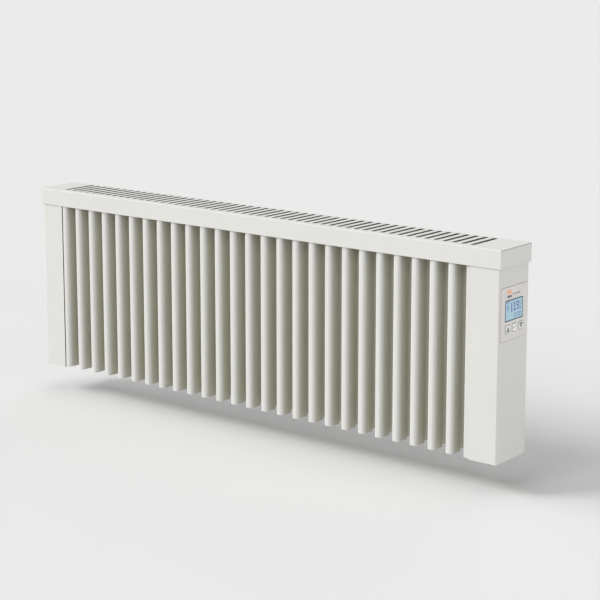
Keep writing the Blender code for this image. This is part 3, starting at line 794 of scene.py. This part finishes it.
def make_lid():
    """Slotted top cover: a folded sheet with round-ended air slots and a joint line at each end."""
    lid = sheet_box(LID_LOW, LID_HIGH, [(0, 0, -1)], LID_FOLD, FOLD_STEPS, clear_of_ends, LID_SHEET)
    top = LID_HIGH.z - LID_SHEET
    joints = []
    for side, end in ((-1, LID_LOW.x), (1, LID_HIGH.x)):
        near, far = sorted((end - side * END_JOINT_DEPTH, end + side * SHEET))
        joints.append(box((near, LID_LOW.y - SHEET, top - END_JOINT), (far, LID_HIGH.y + SHEET, top)))
    slots = []
    for index in range(2 * FIN_COUNT + 1):
        x = fin_center(0) + SLOT_SHIFT + index * FIN_PITCH / 2
        slots.append(stadium(x, depth(SLOT_NEAR), depth(SLOT_FAR), SLOT_WIDTH))
    lid = cut(lid, extrusion(slots, "Z", LID_HIGH.z - 2 * SHEET, LID_HIGH.z + SHEET), *joints)
    piece(softened(lid, SLOT_LIP), "slotted_lid", "top_cover", "painted", LID_PAINT, "top_grille")


# End covers


def make_end_covers():
    """Folded end covers; the right one has openings for the controller and the cable gland."""
    low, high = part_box("left_end_cover")
    left = sheet_box(low, high, [(1, 0, 0), (0, 0, 1)], CASE_FOLD, CASE_FOLD_STEPS, upright)
    left = softened(left, SHEET_EDGE)
    piece(left, "left_cover_shell", "heater", "painted", COVER_PAINT, "left_end_cover")

    low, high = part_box("right_end_cover")
    right = sheet_box(low, high, [(-1, 0, 0), (0, 0, 1)], CASE_FOLD, CASE_FOLD_STEPS, upright)
    fascia_low, fascia_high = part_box("fascia")
    aperture = rounded(
        (fascia_low.y - FASCIA_SEAM, fascia_low.z - FASCIA_SEAM),
        (fascia_high.y + FASCIA_SEAM, fascia_high.z + FASCIA_SEAM),
        FASCIA_RADIUS + FASCIA_SEAM,
    )
    gland_low, gland_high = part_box("cable_gland")
    center = (gland_low + gland_high) / 2
    hole = circle((center.x, center.z), GLAND_BODY + GLAND_CLEAR)
    right = cut(
        right,
        extrusion([aperture], "X", high.x - 3 * SHEET, high.x + SHEET),
        extrusion([hole], "Y", high.y - 2 * SHEET, high.y + SHEET),
    )
    right = softened(right, SHEET_EDGE)
    piece(right, "right_cover_shell", "heater", "painted", COVER_PAINT, "right_end_cover")


# Fins


def foot(wall, length, back, side):
    """Path from a fin's wall out along its foot, with the fillet between them."""
    center = (wall + side * FOOT_FILLET, back - FOOT_FILLET)
    start = 180 if side > 0 else 0
    path = arc(center, FOOT_FILLET, start, 90, FOLD_STEPS)
    return path + [(wall + side * length, back)]


def folded_fin(name, path, node_name, right):
    """Fin from its section, with the lower end of its feet relieved as far as X of right."""
    low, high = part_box(node_name)
    fin = sheet_strip(path, "Z", low.z, high.z, THIN_SHEET)
    corner = (low.x - SHEET, high.y - RELIEF_DEPTH, low.z - SHEET)
    fin = cut(fin, box(corner, (right, high.y + SHEET, low.z + RELIEF_HEIGHT)))
    piece(softened(fin, SHEET_EDGE), name, "heater", "painted", FIN_CHANNEL_SHADE_PAINT, node_name)


def make_fins():
    """Folded fins on the front plate, and the end fin that tucks behind the right end cover."""
    for index in range(FIN_COUNT):
        node_name = f"fin_{index + 1:02d}"
        low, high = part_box(node_name)
        left = fin_center(index) - FIN_WIDTH / 2
        right = left + FIN_WIDTH
        middle = low.y + FIN_RADIUS
        path = foot(left, left - low.x, high.y - THIN_SHEET, -1)[::-1]
        path += arc((left + FIN_RADIUS, middle), FIN_RADIUS, 180, 270, FIN_NOSE_STEPS)
        path += arc((right - FIN_RADIUS, middle), FIN_RADIUS, 270, 360, FIN_NOSE_STEPS)
        path += foot(right, high.x - right, high.y - THIN_SHEET, 1)
        folded_fin(f"folded_fin_{index + 1:02d}", path, node_name, high.x + SHEET)
    node_name = f"fin_{FIN_COUNT + 1:02d}"
    low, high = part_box(node_name)
    wall = fin_center(FIN_COUNT) - FIN_WIDTH / 2
    middle = low.y + END_FIN_RADIUS
    path = foot(wall, wall - low.x, high.y - THIN_SHEET, -1)[::-1]
    path += arc((wall + END_FIN_RADIUS, middle), END_FIN_RADIUS, 180, 270, FIN_NOSE_STEPS)
    path.append((high.x, low.y))
    folded_fin("folded_end_fin", path, node_name, wall + FIN_WIDTH)


# Controller


def printed(outlines, face):
    """Thin layer of ink on a face that looks along +X."""
    return extrusion(outlines, "X", face, face + INK)


def frame_outline(low, high, radius, line):
    """A rounded rectangular line: its outer and inner outline."""
    inner_low = (low[0] + line, low[1] + line)
    inner_high = (high[0] - line, high[1] - line)
    return [rounded(low, high, radius), rounded(inner_low, inner_high, max(radius - line, LEAST_CORNER))]


def key_cap(name):
    """Corners of a key's cap in the fascia, seen from its front."""
    low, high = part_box(name)
    return (low.y + KEY_LIP, low.z + KEY_LIP), (high.y - KEY_LIP, high.z - KEY_LIP)


def make_fascia():
    """Controller face with its window and key openings."""
    low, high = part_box("fascia")
    window_low, window_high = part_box("display_window")
    gap = KEY_CLEAR
    opening_low = (window_low.y - gap, window_low.z - gap)
    opening_high = (window_high.y + gap, window_high.z + gap)
    outlines = [
        rounded((low.y, low.z), (high.y, high.z), FASCIA_RADIUS),
        rounded(opening_low, opening_high, WINDOW_CORNER),
    ]
    for name in KEY_NAMES:
        (y0, z0), (y1, z1) = key_cap(name)
        outlines.append(rounded((y0 - gap, z0 - gap), (y1 + gap, z1 + gap), KEY_CORNER + gap))
    face = softened(extrusion(outlines, "X", low.x, high.x), FASCIA_EDGE, 3)
    piece(face, "fascia_plate", "heater", "fascia", FASCIA_FILM, "fascia")


def make_fascia_print():
    """Frames round the keys, heat symbol, base bar and dashes, all printed on the fascia."""
    low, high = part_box("fascia")
    field = KEY_MARK_MARGIN - KEY_MARK_LINE
    for name, look, margin, line in (
        ("key_surrounds", GREY_INK, KEY_MARK_MARGIN, KEY_MARK_LINE),
        ("key_fields", WHITE_INK, field, field - 2 * KEY_CLEAR),
    ):
        rings = []
        for key in KEY_NAMES:
            (y0, z0), (y1, z1) = key_cap(key)
            outer = (y0 - margin, z0 - margin), (y1 + margin, z1 + margin)
            rings.append(printed(frame_outline(*outer, KEY_CORNER + margin, line), high.x))
        piece(joined(rings), name, "heater", "fascia", look)

    waves = []
    for i in range(HEAT_MARK_WAVES):
        wave = wave_outline(low.y + HEAT_MARK_Y + i * HEAT_MARK_STEP, low.z + HEAT_MARK_Z)
        waves.append(printed([wave], high.x))
    piece(joined(waves), "heat_symbol", "heater", "fascia", ORANGE_INK)
    (y0, z0), (y1, z1) = HEAT_BASE_LOW, HEAT_BASE_HIGH
    base = rounded((low.y + y0, low.z + z0), (low.y + y1, low.z + z1), (z1 - z0) / 3, 4)
    dashes = [printed([base], high.x)]
    for i in range(RULE_DASHES):
        y = low.y + RULE_START + i * RULE_STEP
        z = low.z + RULE_Z
        dashes.append(printed([rounded((y, z), (y + RULE_DASH, z + RULE_LINE), RULE_LINE / 3, 4)], high.x))
    piece(joined(dashes), "fascia_marks", "heater", "fascia", GREY_INK)


def wave_outline(y, z):
    """Outline of one rising wave of the heat symbol."""
    right = []
    left = []
    for step in range(HEAT_MARK_STEPS + 1):
        turn = math.tau * step / HEAT_MARK_STEPS
        middle = y + HEAT_MARK_SWING * math.sin(turn)
        height = z + HEAT_MARK_HEIGHT * step / HEAT_MARK_STEPS
        half = HEAT_MARK_LINE / 2 * math.sqrt(max(HEAT_MARK_TIP, math.sin(turn / 2)))
        right.append((middle + half, height))
        left.append((middle - half, height))
    return right + left[::-1]


def digit(value, y, z, width, height, line):
    """Outlines of a seven-segment digit whose lower left corner is (y, z)."""
    half = height / 2
    gap = line * 0.12
    far = y + width - line
    across = {"a": z + height - line, "g": z + half - line / 2, "d": z}
    sides = {"f": (y, z + half), "b": (far, z + half), "e": (y, z), "c": (far, z)}
    outlines = []
    for name in SEGMENTS[value]:
        if name in across:
            low = (y + gap + line * 0.5, across[name])
            high = (y + width - gap - line * 0.5, across[name] + line)
        else:
            side, bottom = sides[name]
            low = (side, bottom + gap + line * 0.3)
            high = (side + line, bottom + half - gap - line * 0.3)
        outlines.append(rounded(low, high, line * 0.25, 2))
    return outlines


def make_display():
    """Display behind the window: a blue face, its dark border and its segments."""
    low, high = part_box("display_window")
    outline = rounded((low.y, low.z), (high.y, high.z), WINDOW_CORNER - KEY_CLEAR)
    pane = softened(extrusion([outline], "X", low.x, high.x), WINDOW_EDGE)
    piece(pane, "display_face", "heater", "window", DISPLAY_BLUE, "display_window")
    border = printed(frame_outline((low.y, low.z), (high.y, high.z), WINDOW_CORNER, BORDER_LINE), high.x)
    piece(border, "display_border", "heater", "display", BEZEL_INK)

    base = low.z + BIG_Z
    outlines = digit("9", low.y + NINE_Y, base, BIG_WIDTH, BIG_HEIGHT, BIG_LINE)
    outlines += digit("c", low.y + UNIT_Y, base, UNIT_WIDTH, UNIT_HEIGHT, SMALL_LINE)
    for i, value in enumerate(SMALL_TIME):
        y = low.y + SMALL_Y + i * SMALL_STEP + (SMALL_COLON if i > 1 else 0)
        outlines += digit(value, y, low.z + SMALL_Z, SMALL_WIDTH, SMALL_HEIGHT, SMALL_LINE)
    colon_y = low.y + SMALL_Y + 2 * SMALL_STEP - SMALL_COLON / 8
    for share in (0.3, 0.7):
        outlines.append(circle((colon_y, low.z + SMALL_Z + SMALL_HEIGHT * share), DOT_RADIUS, 12))
    parts = [printed([outline], high.x) for outline in outlines]
    degree = (low.y + UNIT_Y + DEGREE_RADIUS, base + BIG_HEIGHT - DEGREE_RADIUS)
    parts.append(printed([circle(degree, DEGREE_RADIUS), circle(degree, DEGREE_BORE)], high.x))
    for y, z, width, height in DISPLAY_BARS:
        near, bottom = low.y + y, low.z + z
        bar = rounded((near, bottom), (near + width, bottom + height), DOT_RADIUS / 2, 3)
        parts.append(printed([bar], high.x))
    (y0, z0), (y1, z1) = BATTERY_LOW, BATTERY_HIGH
    battery = frame_outline(
        (low.y + y0, low.z + z0), (low.y + y1, low.z + z1), DEGREE_BORE, BATTERY_LINE
    )
    parts.append(printed(battery, high.x))
    piece(joined(parts), "display_segments", "heater", "display", SEGMENT_INK)


def triangle(y, z, size, up):
    """Outline of a triangle with its point up or down."""
    tip = size if up else -size
    foot = z - tip * SYMBOL_FOOT
    return [(y, z + tip), (y - size, foot), (y + size, foot)]


def tick(y, z, size, line):
    """Outline of a tick mark."""
    rise = size * 0.75
    knee = y - size * 0.3
    slant = line * 0.7
    return [
        (y - size, z),
        (knee, z - rise),
        (y + size, z + rise),
        (y + size - slant, z + rise + slant),
        (knee, z - rise + 2 * slant),
        (y - size + slant, z + slant),
    ]


def make_keys():
    """Three keys with a flange behind the fascia, and a printed symbol on each."""
    for name in KEY_NAMES:
        low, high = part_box(name)
        (y0, z0), (y1, z1) = key_cap(name)
        outline = rounded((y0, z0), (y1, z1), KEY_CORNER)
        cap = softened(extrusion([outline], "X", low.x + KEY_FLANGE, high.x), KEY_EDGE, 3)
        outline = rounded((low.y, low.z), (high.y, high.z), KEY_CORNER)
        flange = extrusion([outline], "X", low.x, low.x + KEY_FLANGE)
        piece(joined([cap, flange]), name + "_cap", name, "key", KEY_PLASTIC, name)
        y = (y0 + y1) / 2
        z = (z0 + z1) / 2
        if name == "key_ok":
            outlines = [tick(y, z, TICK_SIZE, SYMBOL_LINE)]
        else:
            up = name == "key_up"
            inner = z - (0.5 if up else -0.5) * SYMBOL_LINE
            hole = triangle(y, inner, SYMBOL_SIZE * SYMBOL_HOLE, up)
            outlines = [triangle(y, z, SYMBOL_SIZE, up), hole]
        piece(printed(outlines, high.x), name + "_symbol", name, "key", BLACK_INK)


# Back, bottom and hanging parts


def make_screw(radius, head):
    """Pan-head screw with a cross recess, its head's back on the origin and its axis along +Z."""
    shank = radius * SCREW_SHANK
    rim = head * SCREW_RIM
    dome = [(0.0, -2 * head), (shank, -2 * head), (shank, 0.0), (radius, 0.0)]
    dome += [
        (radius * math.cos(math.radians(angle)), rim + (head - rim) * math.sin(math.radians(angle)))
        for angle in range(0, 90, 15)
    ]
    dome.append((0.0, head))
    screw = turned(dome, (0, 0, 0), "Z", SCREW_STEPS)
    reach = radius * RECESS_REACH
    line = radius * RECESS_LINE
    across = box((-reach, -line, rim), (reach, line, 2 * head))
    along = box((-line, -reach, rim), (line, reach, 2 * head))
    return cut(screw, across, along)


def make_screws(name, places, radius, head):
    """A group of equal screws at places on the back, with their heads towards the wall."""
    master = make_screw(radius, head)
    turn = AXES["Z"].rotation_difference(AXES["Y"]).to_matrix().to_4x4()
    shape = bmesh.new()
    for place in places:
        copy = master.data.copy()
        copy.transform(Matrix.Translation(Vector(place)) @ turn)
        shape.from_mesh(copy)
        bpy.data.meshes.remove(copy)
    bpy.data.objects.remove(master, do_unlink=True)
    piece(from_bmesh(shape), name, "heater", "galvanised", ZINC)


def make_back():
    """Back panel with pressed beads, and the screws that hold it and the end covers."""
    low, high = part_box("back_panel")
    beads = []
    for z in BEAD_HEIGHTS:
        bead_low = (low.x + BEAD_MARGIN, high.y - BEAD_DEPTH, z - BEAD_HALF)
        bead_high = (high.x - BEAD_MARGIN, high.y + SHEET, z + BEAD_HALF)
        beads.append(box(bead_low, bead_high))
    panel = softened(cut(box(low, high), *beads), SHEET_EDGE)
    piece(panel, "back_sheet", "heater", "painted", COVER_PAINT, "back_panel")

    columns = (
        low.x + SCREW_INSET,
        high.x - SCREW_INSET,
        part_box("left_end_cover")[1].x - SCREW_INSET,
        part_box("right_end_cover")[0].x + SCREW_INSET,
    )
    places = [(x, high.y, z) for x in columns for z in PANEL_SCREW_HEIGHTS]
    make_screws("panel_screws", places, SCREW_RADIUS, SCREW_HEAD)


def make_rail():
    """Hanging rail, a hook-shaped strip, and the screws that hold it."""
    low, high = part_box("hanging_rail")
    near = low.y + RAIL_SHEET
    far = high.y - RAIL_SHEET
    top = high.z - RAIL_SHEET
    path = bent([(near, low.z), (near, top), (far, top), (far, RAIL_LIP_BOTTOM)], RAIL_FOLD)
    rail = softened(sheet_strip(path, "X", low.x, high.x, -RAIL_SHEET), SHEET_EDGE)
    piece(rail, "rail_hook_strip", "heater", "galvanised", ZINC, "hanging_rail")

    first = low.x + RAIL_SCREW_INSET
    span = high.x - low.x - 2 * RAIL_SCREW_INSET
    places = [
        (first + i * span / (RAIL_SCREW_COUNT - 1), near, low.z + RAIL_SCREW_RISE)
        for i in range(RAIL_SCREW_COUNT)
    ]
    make_screws("rail_screws", places, SCREW_RADIUS * RAIL_SCREW_SCALE, SCREW_HEAD * RAIL_SCREW_SCALE)


def make_gland():
    """Cable gland: a body through the end cover with a shouldered nut outside, open for the cord."""
    low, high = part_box("cable_gland")
    center = (low + high) / 2
    shoulder = GLAND_NUT - GLAND_SHOULDER
    nut_back = low.y + GLAND_NUT_BACK
    ring = [
        (GLAND_BORE, high.y - 2 * GLAND_CHAMFER),
        (GLAND_BORE + 2 * GLAND_CHAMFER, high.y),
        (shoulder - GLAND_CROWN_CHAMFER, high.y),
        (shoulder, high.y - GLAND_CROWN_CHAMFER),
        (shoulder, high.y - GLAND_CROWN + GLAND_STEP),
        (GLAND_NUT, high.y - GLAND_CROWN),
        (GLAND_NUT, nut_back + GLAND_NUT_CHAMFER[1]),
        (GLAND_NUT - GLAND_NUT_CHAMFER[0], nut_back),
        (GLAND_BODY, nut_back),
        (GLAND_BODY, low.y + GLAND_CHAMFER),
        (GLAND_BODY - GLAND_CHAMFER, low.y),
        (GLAND_BORE, low.y),
    ]
    gland = turned(ring, (center.x, 0, center.z), "Y", 2 * CIRCLE_STEPS)
    piece(gland, "gland_body", "heater", "dark_plastic", DARK_PLASTIC, "cable_gland")


def make_bottom():
    """Air inlet grille between the front plate and the back panel."""
    low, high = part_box("bottom_grille")
    slots = []
    for index in range(FIN_COUNT):
        x = fin_center(index) + FIN_PITCH / 2
        slots.append(stadium(x, depth(INLET_SLOT_NEAR), depth(INLET_SLOT_FAR), SLOT_WIDTH))
    outline = [(low.x, low.y), (high.x, low.y), (high.x, high.y), (low.x, high.y)]
    grille = extrusion([outline] + slots, "Z", low.z, high.z)
    piece(softened(grille, SHEET_EDGE), "inlet_grille", "heater", "painted", PAINT, "bottom_grille")


# Carried-over CAD nodes and their finishes

KEPT = {
    # The front plate gets the fin paint, with its painted shade deep in the channels
    "front_plate": ("painted", FIN_CHANNEL_SHADE_PAINT),
    "left_bulkhead": ("galvanised", ZINC),
    "right_bulkhead": ("galvanised", ZINC),
    "core_rail": ("galvanised", ZINC),
    "heat_shield": ("reflector", ALUMINIUM),
    "core_plate_1": ("fireclay", CLAY),
    "core_plate_2": ("fireclay", CLAY),
    "core_plate_3": ("fireclay", CLAY),
    "heating_element_1": ("element", SHEATH),
    "heating_element_2": ("element", SHEATH),
    "heating_element_3": ("element", SHEATH),
    "display_module": ("display", DARK_PLASTIC),
    "key_mat": ("silicone", SILICONE),
    "control_board": ("board", BOARD),
    "control_housing": ("dark_plastic", DARK_PLASTIC),
    "terminal_block": ("ceramic", CERAMIC),
    "thermal_cutout": ("dark_plastic", DARK_PLASTIC),
    "supply_lead": ("insulation", INSULATION),
    "heater_lead": ("insulation", INSULATION),
    "wall_bracket_left": ("galvanised", ZINC),
    "wall_bracket_right": ("galvanised", ZINC),
}


def dress_kept_nodes():
    """Give each CAD node that stays its finish."""
    for name, (slot, look) in KEPT.items():
        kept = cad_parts[name]
        kept.data.materials.clear()
        kept.data.materials.append(look)


# Floor, light and camera


def sun(name, azimuth, elevation, size, strength, color):
    """Sun that stands at an azimuth from +X and an elevation, in degrees."""
    lamp = bpy.data.lights.new(name, "SUN")
    lamp.energy = strength
    lamp.angle = math.radians(size)
    lamp.color = color
    holder = linked(name, lamp)
    turn = math.radians(azimuth)
    rise = math.radians(elevation)
    place = Vector((math.cos(turn) * math.cos(rise), math.sin(turn) * math.cos(rise), math.sin(rise)))
    holder.rotation_euler = place.to_track_quat("Z", "Y").to_euler()


def make_studio():
    """Pale floor, soft key light from the front left, weaker lights around and an even sky."""
    shape = bmesh.new()
    bmesh.ops.create_grid(shape, x_segments=2, y_segments=2, size=FLOOR_HALF)
    bmesh.ops.translate(shape, vec=(0, 0, FLOOR_Z), verts=shape.verts)
    floor = from_bmesh(shape, "studio_floor")
    look, tree, shader, where = principled("studio_floor")
    mottle = noise(tree, where, 3, 2)
    tint = mixed(tree, mottle, shade(FLOOR_COLOR, 0.998), shade(FLOOR_COLOR, 1.002))
    socket(tree, shader.inputs["Base Color"], tint)
    shader.inputs["Roughness"].default_value = 1.0
    shader.inputs["Specular IOR Level"].default_value = 0.0
    floor.data.materials.append(look)

    for light in LIGHTS:
        sun(*light)

    world = bpy.data.worlds.new("studio")
    world.use_nodes = True
    tree = world.node_tree
    tree.nodes.clear()
    light = node(tree, "Background", {"Color": (1, 1, 1, 1), "Strength": SKY_LIGHT})
    seen = node(tree, "Background", {"Color": (1, 1, 1, 1), "Strength": SKY_SEEN})
    mix = node(
        tree, "MixShader",
        {0: node(tree, "LightPath").outputs["Is Camera Ray"], 1: light.outputs[0], 2: seen.outputs[0]},
    )
    node(tree, "OutputWorld", {"Surface": mix.outputs[0]})
    bpy.context.scene.world = world
    bpy.context.scene.view_settings.view_transform = "Standard"


def make_camera():
    """Camera to the right of the front, above the lid."""
    lens = bpy.data.cameras.new("camera")
    lens.lens = CAMERA_LENS
    lens.shift_y = CAMERA_SHIFT
    lens.clip_end = 200
    camera = linked("camera", lens)
    camera.location = CAMERA_PLACE
    camera.rotation_euler = [math.radians(angle) for angle in CAMERA_TURN]
    bpy.context.scene.camera = camera


make_camera()
make_studio()
make_lid()
make_end_covers()
make_fins()
make_fascia()
make_fascia_print()
make_display()
make_keys()
make_back()
make_rail()
make_gland()
make_bottom()
dress_kept_nodes()
